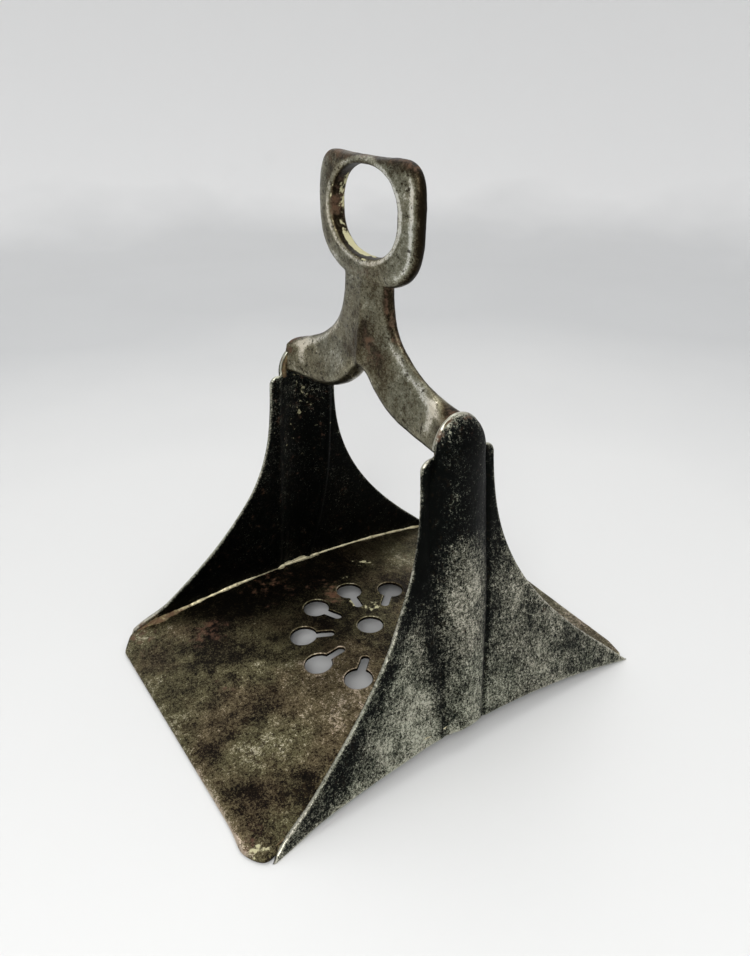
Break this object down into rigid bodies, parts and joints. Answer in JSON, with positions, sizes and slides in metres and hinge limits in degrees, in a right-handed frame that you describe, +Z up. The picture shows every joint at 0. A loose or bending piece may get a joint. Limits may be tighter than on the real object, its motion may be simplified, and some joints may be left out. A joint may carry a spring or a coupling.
{
  "type": "stirrup",
  "caption": "Broad footplate riding stirrup: pierced arched tread, winged side plates with embossed ribs, and a forged bow with a strap eye.",
  "frame": {"origin": "middle of the footprint, on the surface that the stirrup stands on", "axes": "+Z up from the tread to the strap eye, +Y from the tread's front edge to its back edge, +X across the tread to the right side plate"},
  "size_m": [0.121, 0.16, 0.1766],
  "materials": {
    "tread_steel": "worn brown-grey steel with dark mottling and traces of rust",
    "side_steel": "blackened steel worn to silver on its high places",
    "bow_steel": "grey forged steel with fine dark pitting and bright rubbed edges",
    "braze": "dull, dirty braze metal"
  },
  "bodies": {
    "root": {"tread_plate": "tread_steel", "left_side_plate": "side_steel", "right_side_plate": "side_steel", "bow": "bow_steel", "strap_eye": "bow_steel", "left_tread_braze": "braze", "right_tread_braze": "braze", "left_arm_braze": "braze", "right_arm_braze": "braze"}
  },
  "joints": []
}
